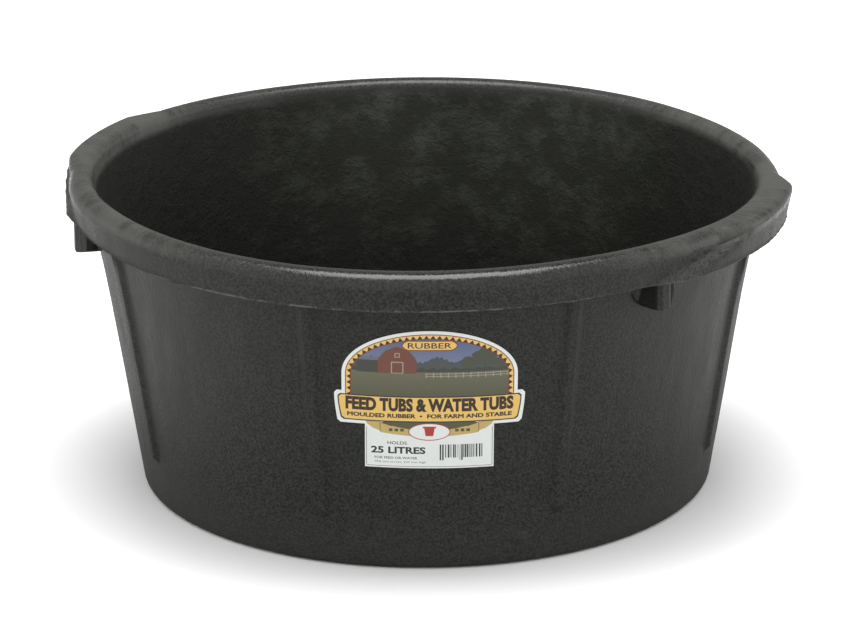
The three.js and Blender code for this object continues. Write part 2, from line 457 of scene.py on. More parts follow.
def shell_position(tree, sizes):
    """Where each point of the sweep belongs."""
    share = {name: attribute(tree, name) for name in SHARES}
    azimuth = attribute(tree, "azimuth")
    reach, steep = ear_fields(tree, sizes, azimuth, share["level"])
    roll = sizes["Band Roll"] + steep * (sizes["Ear Roll"] - sizes["Band Roll"])
    rib = rib_field(tree, sizes, azimuth, share["span"], share["level"])
    east = azimuth.math("SINE")
    north = azimuth.math("COSINE") * -1.0
    on_rim = wire(
        tree,
        "ShaderNodeCombineXYZ",
        "Vector",
        {"X": east * BAND_RADIUS, "Y": north * BAND_RADIUS, "Z": share["level"]},
    )
    slow = (noise(tree, on_rim, 7, 1) - 0.5) * 4.0 + (noise(tree, on_rim, 28, 1) - 0.5)
    radius = share["span"] + share["roll_out"] * roll + share["rib"] * rib + share["ear"] * reach
    radius = radius + share["flash"] * ragged_field(tree, on_rim) + share["sway"] * sizes["Sway"] * slow
    radius = radius + pull_field(tree, sizes, azimuth, share)
    dip = (noise(tree, on_rim, 45, 2) - 0.5) * (1.2 * MM)
    height = share["level"] + share["roll_up"] * roll + share["flash"] * dip
    height = height + share["sway"] * sag_field(azimuth)
    return wire(
        tree, "ShaderNodeCombineXYZ", "Vector", {"X": east * radius, "Y": north * radius, "Z": height}
    )


def with_gussets(tree, sizes, shell):
    """Joins the gussets to the shell as one solid."""
    source = node(tree, "GeometryNodeObjectInfo", {"Object": sizes["Gusset"]})
    spots = node(tree, "GeometryNodeMeshLine", {"Count": sizes["Gussets"], "Offset": (0, 0, 0)})
    index = wire(tree, "GeometryNodeInputIndex", "Index")
    turn = index * (2 * pi / sizes["Gussets"]) + sizes["First Gusset"]
    rotation = wire(tree, "ShaderNodeCombineXYZ", "Vector", {"Z": turn})
    east = turn.math("SINE")
    out = ramp(tree, east, -0.85, -0.95) * sizes["Gusset Shift"]
    north = turn.math("COSINE") * out * -1.0
    moved = wire(tree, "ShaderNodeCombineXYZ", "Vector", {"X": east * out, "Y": north})
    spots = node(tree, "GeometryNodeSetPosition", {"Geometry": spots.outputs[0], "Position": moved})
    copies = node(
        tree,
        "GeometryNodeInstanceOnPoints",
        {"Points": spots.outputs[0], "Instance": source.outputs["Geometry"], "Rotation": rotation},
    )
    real = node(tree, "GeometryNodeRealizeInstances", {"Geometry": copies.outputs[0]})
    union = node(tree, "GeometryNodeMeshBoolean", operation="UNION", solver="MANIFOLD")
    tree.links.new(shell, union.inputs["Mesh 2"])
    tree.links.new(real.outputs[0], union.inputs["Mesh 2"])
    return union.outputs["Mesh"]


shell_tree = turned_shell_tree()
print("shell tree has", len(shell_tree.nodes), "nodes")

# %% [markdown]
# ## Gussets
#
# Three wedges stiffen the rim. Seen from above each one narrows towards the rim's edge, and seen from
# outside it has a round bottom. It is lofted from cross-sections that stand side by side, because both
# outlines are then plain formulas. Two shallow cutter marks run down each flank, as in the real mould.

# %% Loft one gusset
GUSSET_DROP = 18.6 * MM
GUSSET_HALF_WIDTH = 20 * MM
GUSSET_HALF_EDGE = 3 * MM
GUSSET_ROOT = WALL_TOP_RADIUS - 5.6 * MM
GUSSET_FACE = BAND_RADIUS - 0.4 * MM
GUSSET_SPREAD = 1.4  # sideways run of a flank for each unit it comes in
GUSSET_ROUND = 1.1 * MM
CUTTER_MARKS = (7.3 * MM, 12.1 * MM)


def gusset_section(across):
    """Points (outwards, up) of the gusset's cross-section at a distance from its middle."""
    share = min(abs(across) / GUSSET_HALF_WIDTH, 1)
    low = BAND_BOTTOM - GUSSET_DROP * sqrt(1 - share * share) - 0.3 * MM
    inset = max(0, abs(across) - GUSSET_HALF_EDGE) / GUSSET_SPREAD
    mark = sum(np.exp(-(((abs(across) - m) / (0.45 * MM)) ** 2)) for m in CUTTER_MARKS)
    face = max(GUSSET_FACE - inset + 0.35 * MM * mark, GUSSET_ROOT + 1.6 * MM)
    high = BAND_BOTTOM + 3 * MM
    corner = [
        (face - GUSSET_ROUND * (1 - sin(a)), low + GUSSET_ROUND * (1 - cos(a)))
        for a in np.linspace(0, pi / 2, 5)
    ]
    return [(GUSSET_ROOT, high), (GUSSET_ROOT, low), *corner, (face, high)]


def gusset_mesh(stations=97):
    spots = np.linspace(-GUSSET_HALF_WIDTH, GUSSET_HALF_WIDTH, stations)
    sections = [[(x, -out, up) for out, up in gusset_section(x)] for x in spots]
    count = len(sections[0])
    points = [p for section in sections for p in section]
    faces = []
    for row in range(stations - 1):
        for i in range(count):
            j = (i + 1) % count
            faces.append((row * count + i, row * count + j, (row + 1) * count + j, (row + 1) * count + i))
    faces.append(tuple(range(count - 1, -1, -1)))
    faces.append(tuple((stations - 1) * count + i for i in range(count)))
    mesh = bpy.data.meshes.new("gusset")
    mesh.from_pydata(points, [], faces)
    return mesh


gusset = bpy.data.objects.new("gusset", gusset_mesh())
bpy.context.scene.collection.objects.link(gusset)
print("gusset has", len(gusset.data.polygons), "faces")

# %% [markdown]
# ## Shared surface effects
#
# Grain and dust appear on more than one material, so each is a node group with named inputs.
# A group only puts out masks and heights; the shader itself stays in its material.

# %% Node groups for grain and dust


def shader_group(name, inputs, outputs):
    tree, start, end = new_tree(name, "ShaderNodeTree", inputs, outputs)
    return tree, {label: Wire(tree, start.outputs[label]) for label in inputs}, end


def use_group(tree, group, inputs):
    """Places a node group and returns its outputs as wires."""
    made = tree.nodes.new("ShaderNodeGroup")
    made.node_tree = group
    for label, value in inputs.items():
        plug(tree, value, made.inputs[label])
    return {socket.name: Wire(tree, socket) for socket in made.outputs}


def grain_group():
    """Pebbled skin of a moulded surface: fine crumbs over soft lumps."""
    inputs = {"Place": "NodeSocketVector", "Crumb Size": 0.0012, "Lump Size": 0.009, "Lumps": 0.4}
    tree, given, end = shader_group("Moulded grain", inputs, {"Height": 0.0, "Crumbs": 0.0})
    crumbs = noise(tree, given["Place"], 1.0 / given["Crumb Size"], 3, 0.6)
    lumps = noise(tree, given["Place"], 1.0 / given["Lump Size"], 2, 0.5)
    plug(tree, crumbs + lumps * given["Lumps"], end.inputs["Height"])
    plug(tree, crumbs, end.inputs["Crumbs"])
    return tree


def dust_group():
    """Pale specks and smears that stay on a surface, from 0 to 1."""
    inputs = {"Place": "NodeSocketVector", "Specks": 0.5, "Smears": 0.5}
    tree, given, end = shader_group("Stable dust", inputs, {"Dust": 0.0})
    specks = ramp(tree, noise(tree, given["Place"], 520, 1), 0.73, 0.79)
    patches = ramp(tree, noise(tree, given["Place"], 30, 3, 0.6), 0.45, 0.75)
    smears = ramp(tree, noise(tree, given["Place"], 140, 4, 0.7), 0.5, 0.8) * patches
    dust = specks * given["Specks"] * (patches * 0.7 + 0.3) + smears * given["Smears"]
    plug(tree, dust.math("MINIMUM", 1.0), end.inputs["Dust"])
    return tree


grain = grain_group()
dust = dust_group()
print("groups", [g.name for g in bpy.data.node_groups if g.type == "SHADER"])

# %% [markdown]
# ## Rubber
#
# Recycled crumb rubber is near black, with a faint green cast and a dull skin. The inside is painted
# darker as painted shade, with pale blotches on its back wall that are partly a powdery film and
# partly painted sheen. The outer wall is more even. The rim is polished by hands; it is painted darker
# as painted shade, with paler patches that are partly wear and partly painted highlight. Dust lies all
# over, and the foot of the wall is painted paler, partly dust and partly painted light bounced off the
# floor. The gussets' flanks are painted near black as painted shade. The material finds these zones
# from the place on the tub.

# %% The rubber material


def new_material(name):
    made = bpy.data.materials.new(name)
    made.use_nodes = True
    tree = made.node_tree
    tree.nodes.clear()
    surface = tree.nodes.new("ShaderNodeBsdfPrincipled")
    output = tree.nodes.new("ShaderNodeOutputMaterial")
    tree.links.new(surface.outputs["BSDF"], output.inputs["Surface"])
    return made, tree, surface


def mix_colour(tree, mask, first, second):
    """Blends two colours by a mask."""
    made = node(tree, "ShaderNodeMix", data_type="RGBA")
    plug(tree, mask, made.inputs["Factor"])
    for socket, value in ((made.inputs[6], first), (made.inputs[7], second)):
        plug(tree, value, socket)
    return Wire(tree, made.outputs[2])


def tub_zones(tree):
    """Masks for the inside, the rim and the foot of the wall, and the place itself."""
    place = wire(tree, "ShaderNodeTexCoord", "Object")
    parts = node(tree, "ShaderNodeSeparateXYZ", {"Vector": place})
    x, y, z = (Wire(tree, parts.outputs[axis]) for axis in "XYZ")
    radius = (x * x + y * y).math("SQRT")
    middle = z * SLOPE + (inner_radius(0) + WALL_BASE_RADIUS) / 2
    inside = ramp(tree, radius - middle, 1 * MM, -1 * MM) * ramp(tree, z, FLOOR * 0.4, FLOOR * 0.7)
    inside = inside * ramp(tree, z, TOP - 4 * MM, TOP - 9 * MM)
    rim = ramp(tree, z, TOP - 11 * MM, TOP - 5 * MM)
    foot = ramp(tree, z, 0.05, 0.004)
    return place, (x, y, z), inside, rim, foot


def cut_faces(tree, x, y, z):
    """The gussets' flanks, which stand prouder of the wall than the ribs do, and which are painted near black
    as painted shade.
    """
    radius = (x * x + y * y).math("SQRT")
    proud = ramp(tree, radius - (z * SLOPE + WALL_BASE_RADIUS), 3.4 * MM, 4.2 * MM)
    below = ramp(tree, z, BAND_BOTTOM + 1.0 * MM, BAND_BOTTOM - 0.5 * MM)
    end = ramp(tree, radius, BAND_RADIUS - 3.0 * MM, BAND_RADIUS - 1.5 * MM)
    return proud * below * (1.0 - end)


def ragged_seam(tree, place, x, y, z):
    """The torn edge left along the mould's parting line, under the band."""
    wander = (noise(tree, place, 26, 4, 0.7) - 0.5) * 3.0 * MM
    off = (z - (BAND_BOTTOM + 0.1 * MM) + wander * 0.35).math("ABSOLUTE")
    outer = ramp(tree, (x * x + y * y).math("SQRT"), BAND_RADIUS - 5 * MM, BAND_RADIUS - 2 * MM)
    torn = ramp(tree, noise(tree, place, 75, 4, 0.75), 0.44, 0.58)
    return ramp(tree, off, 0.75 * MM, 0.25 * MM) * outer * torn


def rubber_material():
    made, tree, surface = new_material("moulded_rubber")
    place, (x, y, z), inside, rim, foot = tub_zones(tree)
    skin = use_group(tree, grain, {"Place": place, "Crumb Size": 0.0016, "Lump Size": 0.008, "Lumps": 0.5})
    crumbs = ramp(tree, skin["Crumbs"], 0.34, 0.66)
    drift = noise(tree, place, 9, 3, 0.55)
    stretched = wire(tree, "ShaderNodeCombineXYZ", "Vector", {"X": x, "Y": y, "Z": z * 0.25})
    streaks = noise(tree, stretched, 70, 4, 0.6)
    blotches = ramp(tree, noise(tree, place, 42, 6, 0.7), 0.42, 0.70)
    cloud = ramp(tree, noise(tree, place, 7, 2), 0.40, 0.60)
    # Pale blotches on the inner back wall, partly a powdery film and partly painted sheen.
    bloom_and_sheen = inside * (blotches * 0.7 + 0.3) * (cloud * 0.6 + 0.4) * ramp(tree, z, 0.04, 0.18)
    bloom_and_sheen = bloom_and_sheen * ramp(tree, (x - 0.03).math("ABSOLUTE"), 0.20, 0.05) * ramp(tree, y, 0.0, 0.1)
    radius = (x * x + y * y).math("SQRT") + 1 * MM
    around = {"X": x / radius * BAND_RADIUS, "Y": y / radius * BAND_RADIUS, "Z": radius * 0.2}
    brushed = noise(tree, wire(tree, "ShaderNodeCombineXYZ", "Vector", around), 180, 4, 0.65)
    # Paler patches on the rim's sides, partly wear and partly painted highlight.
    wear_and_sheen = ramp(tree, noise(tree, place, 24, 4, 0.6) * 0.6 + brushed * 0.4, 0.40, 0.58)
    wear_and_sheen = (wear_and_sheen * 0.7 + 0.3) * ramp(tree, x.math("ABSOLUTE"), 0.08, 0.2)
    # Dust specks lie all over; the smears grow towards the foot, partly dust and partly painted light bounced
    # off the floor.
    dirt = use_group(tree, dust, {"Place": place, "Specks": 0.35, "Smears": foot * 0.75 + 0.12})["Dust"]
    dirt = dirt * (1.0 - inside * 0.8)
    seam = ragged_seam(tree, place, x, y, z)
    cut = cut_faces(tree, x, y, z)
    colour = mix_colour(tree, drift, (0.0240, 0.0262, 0.0205, 1), (0.0370, 0.0392, 0.0325, 1))
    colour = mix_colour(tree, crumbs, (0.0016, 0.0022, 0.0011, 1), colour)
    # Painted shade: the inside of the tub is painted darker, towards near black.
    colour = mix_colour(tree, inside * 0.85, colour, (0.0042, 0.0052, 0.0026, 1))
    # Pale blotches inside, partly a powdery film and partly painted sheen.
    colour = mix_colour(tree, bloom_and_sheen * 0.7, colour, (0.060, 0.064, 0.052, 1))
    # Painted shade: the rim is painted darker, so that its highlight stands out.
    colour = mix_colour(tree, rim * 0.4, colour, (0.0100, 0.0108, 0.0090, 1))
    # Paler patches on the rim's sides, partly wear and partly painted highlight.
    colour = mix_colour(tree, rim * wear_and_sheen * 0.7, colour, (0.064, 0.066, 0.058, 1))
    # Painted light: the foot of the wall is painted paler, standing in for light bounced off the floor.
    colour = mix_colour(tree, foot * 0.35, colour, (0.045, 0.047, 0.041, 1))
    colour = mix_colour(tree, dirt * 0.5, colour, (0.11, 0.11, 0.10, 1))
    colour = mix_colour(tree, seam, colour, (0.075, 0.073, 0.062, 1))
    # Painted shade: the gussets' flanks, in the corner under the band, are painted near black.
    colour = mix_colour(tree, cut * 0.8, colour, (0.004, 0.005, 0.003, 1))
    plug(tree, colour, surface.inputs["Base Color"])
    rough = 0.50 + (streaks - 0.5) * 0.3 + (crumbs - 0.5) * 0.2 + inside * 0.14 - rim * 0.22
    rough = rough + rim * (wear_and_sheen - 0.5) * 0.24 + cut * 0.2 + rim * ramp(tree, y, 0.05, 0.18) * 0.16
    plug(tree, rough + dirt * 0.2, surface.inputs["Roughness"])
    plug(tree, 0.36 - cut * 0.25 - inside * 0.14, surface.inputs["Specular IOR Level"])
    relief = skin["Height"] * 1.2 + streaks * 0.8 + inside * blotches * 1.6
    relief = relief * (1.0 - rim * 0.65) + wear_and_sheen * rim * noise(tree, place, 160, 3, 0.6) * 0.8
    bump = node(tree, "ShaderNodeBump", {"Height": relief, "Strength": 0.6, "Distance": 0.0006})
    tree.links.new(bump.outputs["Normal"], surface.inputs["Normal"])
    return made


rubber = rubber_material()
print("rubber has", len(rubber.node_tree.nodes), "nodes")

# %% [markdown]
# ## Running the tree
#
# The modifier gets its sizes by socket identifier before the object is first looked at. Its result is
# then copied out as a plain mesh, so that nothing live is left on the piece.

# %% Turn the shell
TUB_SIZES = {
    "First Rib": radians(25),
    "First Ear": radians(71),
    "First Gusset": radians(41),
    "Gusset": gusset,
    "Material": rubber,
}


def run_tree(target, tree, values):
    """Runs a geometry tree on an object and leaves a plain mesh."""
    modifier = target.modifiers.new("shape", "NODES")
    modifier.node_group = tree
    for item in tree.interface.items_tree:
        if item.in_out == "INPUT" and item.socket_type != "NodeSocketGeometry":
            value = values.get(item.name, getattr(item, "default_value", None))
            modifier[item.identifier] = value
    seen = bpy.context.evaluated_depsgraph_get()
    made = bpy.data.meshes.new_from_object(target.evaluated_get(seen), depsgraph=seen)
    target.modifiers.remove(modifier)
    target.data = made
    return made


shell = run_tree(tub, shell_tree, TUB_SIZES)
shell.set_sharp_from_angle(angle=radians(38))
bpy.data.objects.remove(gusset)
spans = [v.co for v in shell.vertices]
print("tub:", len(shell.polygons), "faces, height", round(max(v.z for v in spans), 4))

# %% [markdown]
# ## The label's print
#
# The sticker is printed flat, die-cut and rolled onto the wall. Its print is planned the same way, as
# a stack of flat shapes in millimetres, later ones over earlier ones. Every outline then becomes an
# edge of one flat mesh, and each face takes the ink of the topmost shape that covers it, so the print
# is crisp at any distance and needs no picture. The design is a plain farm view of the lesson's own.

# %% Inks and flat shapes
label_low, label_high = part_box("label")
LABEL_MIDDLE = (label_low.x + label_high.x) / 2 - 0.5 * MM
LABEL_BOTTOM = label_low.z
LABEL_TURN = radians(-0.5)  # stuck on by hand, a little off level
PANEL_HALF = 40.0
PANEL_TOP = 30.0
BANNER_TOP = 52.2
BANNER_HALF_TOP = 59.1
BANNER_HALF_BOTTOM = 56.8
ARCH_SPRING = 64.4
ARCH_HALF = 54.4
ARCH_RISE = 31.0


def ink(red, green, blue):
    """A printed colour, from display values of 0 to 255 to scene light."""
    shares = [v / 255 for v in (red, green, blue)]
    return tuple(v / 12.92 if v <= 0.04045 else ((v + 0.055) / 1.055) ** 2.4 for v in shares)


INKS = {
    "white": ink(232, 236, 233),
    "ochre": ink(236, 196, 112),
    "pale ochre": ink(196, 172, 106),
    "fold": ink(86, 82, 66),
    "dark": ink(58, 44, 36),
    "black": ink(44, 46, 44),
    "maroon": ink(128, 58, 40),
    "red": ink(178, 62, 50),
    "barn": ink(116, 72, 60),
    "roof": ink(104, 110, 122),
    "hedge": ink(66, 70, 62),
    "tree": ink(76, 80, 66),
    "far wood": ink(78, 84, 82),
    "grey": ink(128, 132, 128),
    "post": ink(168, 160, 142),
}


def blend(y, low, high, first, second):
    """An ink between two inks, by how far a height is from one level to another."""
    share = min(max((y - low) / (high - low), 0), 1)
    return tuple(a + (b - a) * share for a, b in zip(first, second))


def sky(x, y):
    """Deep blue overhead, paler towards the wood."""
    return blend(y, 66, 88, ink(126, 136, 156), ink(92, 102, 142))


def field(x, y):
    """Grass that darkens towards the front."""
    return blend(y, 50, 68, ink(88, 88, 68), ink(108, 107, 86))


def oval(x, y, half_width, half_height, steps=40):
    turns = np.linspace(0, 2 * pi, steps, endpoint=False)
    return [(x + half_width * cos(a), y + half_height * sin(a)) for a in turns]


def block(x0, y0, x1, y1):
    return [(x0, y0), (x1, y0), (x1, y1), (x0, y1)]


def mirrored(points):
    return [(-x, y) for x, y in reversed(points)]


def arch(inset):
    """The arch's outline, moved in by a margin; its foot stays under the banner."""
    foot = PANEL_TOP + 8
    half = ARCH_HALF - inset
    turns = np.linspace(0, pi, 81)
    top = [(half * cos(a), ARCH_SPRING + (ARCH_RISE - inset) * sin(a)) for a in turns]
    return [(half, foot), *top, (-half, foot)]


def banner_end(inset):
    """The right end of the banner, bowed outwards and eased at its corners."""
    low, high = PANEL_TOP + inset, BANNER_TOP - inset
    end = []
    for share in np.linspace(0, 1, 13):
        half = BANNER_HALF_BOTTOM + (BANNER_HALF_TOP - BANNER_HALF_BOTTOM) * sin(share * pi / 2) - inset
        eased = half - 1.6 * max(0, 1 - min(share, 1 - share) / 0.09) ** 2
        end.append((eased, low + (high - low) * share))
    return end


def banner(inset):
    return banner_end(inset) + mirrored(banner_end(inset))


def die_cut():
    """The sticker's outer edge: panel, banner and arch in one outline."""
    right = [(PANEL_HALF, 0), (PANEL_HALF, PANEL_TOP), *banner_end(0), (ARCH_HALF, BANNER_TOP)]
    return right + arch(0)[1:-1] + mirrored(right)


print("label", 2 * BANNER_HALF_TOP, "mm wide,", ARCH_SPRING + ARCH_RISE, "mm high")

# %% Lettering as outlines


def boundary_loops(mesh):
    """Chains of vertices round the edges that only one face uses."""
    used = {}
    for face in mesh.polygons:
        for edge in face.edge_keys:
            used[edge] = used.get(edge, 0) + 1
    near = {}
    for (a, b), count in used.items():
        if count == 1:
            near.setdefault(a, []).append(b)
            near.setdefault(b, []).append(a)
    loops = []
    while near:
        first = next(iter(near))
        loop = [first]
        current = near[first].pop()
        near[current].remove(first)
        while current != first:
            loop.append(current)
            following = near[current].pop()
            near[following].remove(current)
            current = following
        loops.append(loop)
        near = {spot: others for spot, others in near.items() if others}
    return loops


def words(text, left, low, right, high, boldness=0.0):
    """Outlines of plain words from the built-in typeface, set to fill a box."""
    curve = bpy.data.curves.new("words", "FONT")
    curve.body = text
    curve.offset = boldness
    curve.resolution_u = 3
    carrier = bpy.data.objects.new("words", curve)
    bpy.context.scene.collection.objects.link(carrier)
    seen = bpy.context.evaluated_depsgraph_get()
    mesh = bpy.data.meshes.new_from_object(carrier.evaluated_get(seen))
    places = np.array([(v.co.x, v.co.y) for v in mesh.vertices])
    least, most = places.min(axis=0), places.max(axis=0)
    places = (places - least) / (most - least) * (right - left, high - low) + (left, low)
    loops = [[tuple(places[i]) for i in loop] for loop in boundary_loops(mesh)]
    bpy.data.objects.remove(carrier)
    bpy.data.meshes.remove(mesh)
    return loops


lettering = {
    "heading": words("FEED TUBS & WATER TUBS", -52, 39.4, 52, 48.8, boldness=0.055),
    "line": words("MOULDED RUBBER  •  FOR FARM AND STABLE", -51, 34.9, 51, 37.9, boldness=0.045),
    "plaque": words("RUBBER", -13.5, 83.4, 13.5, 87.2, boldness=0.01),
    "holds": words("HOLDS", -26, 16.4, -14, 18.6, boldness=0.012),
    "size": words("25 LITRES", -36.2, 10.0, -2.4, 14.8, boldness=0.035),
    "use": words("FOR FEED OR WATER", -34, 6.2, -7.4, 7.8, boldness=0.015),
    "width": words("456 mm across, 207 mm high", -34, 3.2, -2.2, 4.8),
}
print("lettering has", sum(len(loops) for loops in lettering.values()), "outlines")

# %% The stack of printed shapes


def layer(ink_name, *loops, within=None):
    """One printed shape. Where its loops overlap it is open, as in the letter O."""
    return {"ink": INKS.get(ink_name, ink_name), "loops": list(loops), "within": within}


def walk(path, count):
    """Evenly spaced places and directions along an open path."""
    path = np.array(path)
    steps = np.hypot(*np.diff(path, axis=0).T)
    reach = np.concatenate([[0], np.cumsum(steps)])
    for target in (np.arange(count) + 0.5) * reach[-1] / count:
        i = min(np.searchsorted(reach, target), len(steps)) - 1
        along = (path[i + 1] - path[i]) / steps[i]
        yield path[i] + along * (target - reach[i]), along


def teeth():
    """A row of small pointed teeth round the arch."""
    path = [p for p in arch(5.3) if p[1] > BANNER_TOP - 4]
    path = [(path[0][0], BANNER_TOP - 4), *path, (path[-1][0], BANNER_TOP - 4)]
    made = []
    for place, along in walk(path, 38):
        outwards = np.array([along[1], -along[0]])
        foot = along * 1.55
        made.append([tuple(place - foot), tuple(place + outwards * 2.3), tuple(place + foot)])
    return made


def crown(x, y, size, lobes):
    """A tree's leafy outline."""
    turns = np.linspace(0, 2 * pi, 48, endpoint=False)
    reach = [size * (1 + 0.10 * sin(lobes * a) + 0.05 * sin(2.7 * lobes * a + 1)) for a in turns]
    return [(x + r * cos(a), y + 0.78 * r * sin(a)) for a, r in zip(turns, reach)]


def view_layers():
    """Sky, a far wood, a hedge, a field, a barn, a fence and trees, all inside the arch."""
    picture = arch(5.9)
    wood = [(-60, 60)]
    wood += [(x, 75.6 + 1.9 * sin(0.31 * x) + 0.9 * sin(1.9 * x)) for x in np.linspace(-60, 60, 81)]
    hedge = [(-60, 60)]
    hedge += [(x, 69.6 + 0.7 * sin(0.9 * x) + 0.4 * sin(2.3 * x)) for x in np.linspace(-60, 60, 81)]
    shapes = [
        layer(sky, picture),
        layer("far wood", wood + [(60, 60)], within=picture),
        layer("hedge", hedge + [(60, 60)], within=picture),
        layer(field, block(-60, 40, 60, 67), within=picture),
    ]
    for x, y, size, lobes in ((34, 77, 7.6, 5), (24, 73.5, 5, 7), (44, 72.5, 4.8, 6)):
        shapes.append(layer("hedge", block(x - 0.5, 65.5, x + 0.5, y), within=picture))
        shapes.append(layer("tree", crown(x, y, size, lobes), within=picture))
    shapes += [
        layer("roof", [(-46, 74.6), (-44, 77.2), (-30, 77.2), (-30, 74.6)], within=picture),
        layer("hedge", block(-45, 66.2, -30, 74.6), within=picture),
        layer("barn", [(-32, 66), (-8, 66), (-8, 75), (-13, 82.2), (-20, 85), (-27, 82.2), (-32, 75)]),
        layer("roof", [(-33.2, 74.2), (-27.8, 82.8), (-20, 86.2), (-12.2, 82.8), (-6.8, 74.2),
                       (-13, 81.6), (-20, 84.6), (-27, 81.6)]),
        layer("post", block(-23.8, 66, -16.2, 74), block(-23.2, 66.4, -16.8, 73.4)),
        layer("post", block(-21.6, 77, -18.4, 80), block(-21.1, 77.5, -18.9, 79.5)),
    ]
    for i in range(12):
        x = -2.5 + 4.6 * i
        shapes.append(layer("post", block(x, 63, x + 0.5, 66.6), within=picture))
    for rail in (64.0, 65.7):
        shapes.append(layer("post", block(-2.5, rail, 50, rail + 0.4), within=picture))
    return shapes


def ribbon_layers():
    """A folded ribbon under the banner, with an oval seal that shows a plain tub."""
    spots = np.linspace(-30.6, 30.6, 41)
    ribbon = [(x, 22.2 + 0.0027 * x * x) for x in spots]
    ribbon += [(x, 26.4 + 0.0056 * x * x) for x in spots[::-1]]
    tail = [(30.6, 33), (40.2, 33), (38.6, 30.2), (35, 27.4), (30.6, 25.8)]
    fold = [(30.6, 31.4), (23.2, 33.4), (23.2, 29.0)]
    pail = [(-3.2, 28.0), (-2.4, 22.6), (2.4, 22.6), (3.2, 28.0)]
    return [
        layer("pale ochre", tail, mirrored(tail)),
        layer(field, block(-23.2, 25, 23.2, 33)),
        layer("pale ochre", ribbon),
        layer("fold", fold, mirrored(fold)),
        layer("fold", block(30.4, 25.2, 30.8, 32), block(-30.8, 25.2, -30.4, 32)),
        layer("fold", *[block(x - 1.1, 25.6, x + 1.1, 27.6) for x in (-24, -20.5, -17, 17, 20.5, 24)]),
        layer("red", oval(0, 25.5, 13.1, 6.1)),
        layer("white", oval(0, 25.5, 12.5, 5.5)),
        layer("red", pail),
        layer("red", block(-4.1, 28.0, 4.1, 29.2)),
    ]


def barcode_layers():
    """Plain upright stripes of uneven width."""
    stripes = []
    x = 6.4
    for bar, gap in np.random.default_rng(7).choice([0.35, 0.6, 0.95], size=(24, 2)):
        foot = 5.6 if len(stripes) in (0, 1, 9, 10) else 7.4
        stripes.append(block(x, foot, x + bar, 16.6))
        x += bar + gap
        if x > 32.4:
            break
    return [layer("black", *stripes)]


def print_layers():
    """The whole print, from the paper up."""
    plate = [(-17.6, 85.3), (-16, 87.6), (-14, 88.8), (14, 88.8), (16, 87.6), (17.6, 85.3)]
    plate += [(16, 83), (14, 81.8), (-14, 81.8), (-16, 83)]
    inner_plate = [(x * 0.96, 85.3 + (y - 85.3) * 0.82) for x, y in plate]
    return [
        layer("white", die_cut()),
        layer("maroon", arch(2.2)),
        layer("ochre", arch(2.8)),
        layer("dark", *teeth()),
        layer("maroon", arch(5.3)),
        *view_layers(),
        layer("maroon", plate),
        layer("ochre", inner_plate),
        layer("dark", *lettering["plaque"]),
        *ribbon_layers(),
        layer("black", banner(2.1)),
        layer("ochre", banner(2.9)),
        layer("dark", *lettering["heading"]),
        layer("dark", *lettering["line"]),
        layer("grey", block(-39.2, 0.9, -38.8, 28), block(38.8, 0.9, 39.2, 28), block(-39.2, 0.9, 39.2, 1.3)),
        layer("black", *lettering["holds"], *lettering["size"], *lettering["use"], *lettering["width"]),
        *barcode_layers(),
    ]


layers = print_layers()
print("print has", len(layers), "layers")

# %% Cut the flat mesh and ink its faces


def covers(loops, places):
    """Which places lie inside the loops, counting crossings of each outline."""
    inside = np.zeros(len(places), bool)
    px, py = places[:, 0], places[:, 1]
    for loop in loops:
        points = np.array(loop)
        for (ax, ay), (bx, by) in zip(points, np.roll(points, -1, axis=0)):
            if ay == by:
                continue
            crosses = (ay > py) != (by > py)
            inside ^= crosses & (px < (bx - ax) * (py - ay) / (by - ay) + ax)
    return inside


def short_steps(loop, longest=2.5):
    """The same loop with its long sides cut into short ones, so that it can bend round the wall."""
    made = []
    for start, stop in zip(loop, loop[1:] + loop[:1]):
        count = max(1, round(hypot(stop[0] - start[0], stop[1] - start[1]) / longest))
        for i in range(count):
            made.append([a + (b - a) * i / count for a, b in zip(start, stop)])
    return made


def flat_print(shapes, grid=2.5):
    """A flat mesh whose edges follow every printed outline, and an ink for each face corner."""
    points, edges = [], []
    for shape in shapes:
        for loop in map(short_steps, shape["loops"]):
            first = len(points)
            points += [Vector(p) for p in loop]
            edges += [(first + i, first + (i + 1) % len(loop)) for i in range(len(loop))]
    for x in np.arange(-BANNER_HALF_TOP, BANNER_HALF_TOP, grid):
        for y in np.arange(0, ARCH_SPRING + ARCH_RISE, grid):
            points.append(Vector((x + 0.013, y + 0.017)))
    flat, _, faces, *_ = delaunay_2d_cdt(points, edges, [], 0, 1e-4)
    places = np.array([(p.x, p.y) for p in flat])
    faces = np.array(faces)
    middles = places[faces].mean(axis=1)
    kept = covers(shapes[0]["loops"], middles)
    faces, middles = faces[kept], middles[kept]
    chosen = np.zeros(len(faces), int)
    for number, shape in enumerate(shapes):
        hit = covers(shape["loops"], middles)
        if shape["within"]:
            hit &= covers([shape["within"]], middles)
        chosen[hit] = number
    inks = []
    for face, number in zip(faces, chosen):
        colour = shapes[number]["ink"]
        inks.append([colour(*places[i]) if callable(colour) else colour for i in face])
    return places, faces, inks


flat_places, flat_faces, flat_inks = flat_print(layers)
print("flat print has", len(flat_faces), "faces")

# %% [markdown]
# ## Rolling the label on
#
# The flat sheet is laid on the finished wall by looking for the rubber behind each point, so it
# follows every unevenness, as a thin vinyl sticker does. It has a real thickness with a white edge.

# %% Wrap the label
from mathutils.bvhtree import BVHTree

LABEL_LIFT = 0.12 * MM
LABEL_THICKNESS = 0.3 * MM


def on_wall(tree, x, height, lift):
    """The place over the rubber at a distance across and a height, lifted off it."""
    outwards = Vector((x, -sqrt(wall_radius(height) ** 2 - x * x), 0)).normalized()
    start = outwards * (BAND_RADIUS + 0.1) + Vector((0, 0, height))
    hit, *_ = tree.ray_cast(start, -outwards)
    return hit + outwards * lift


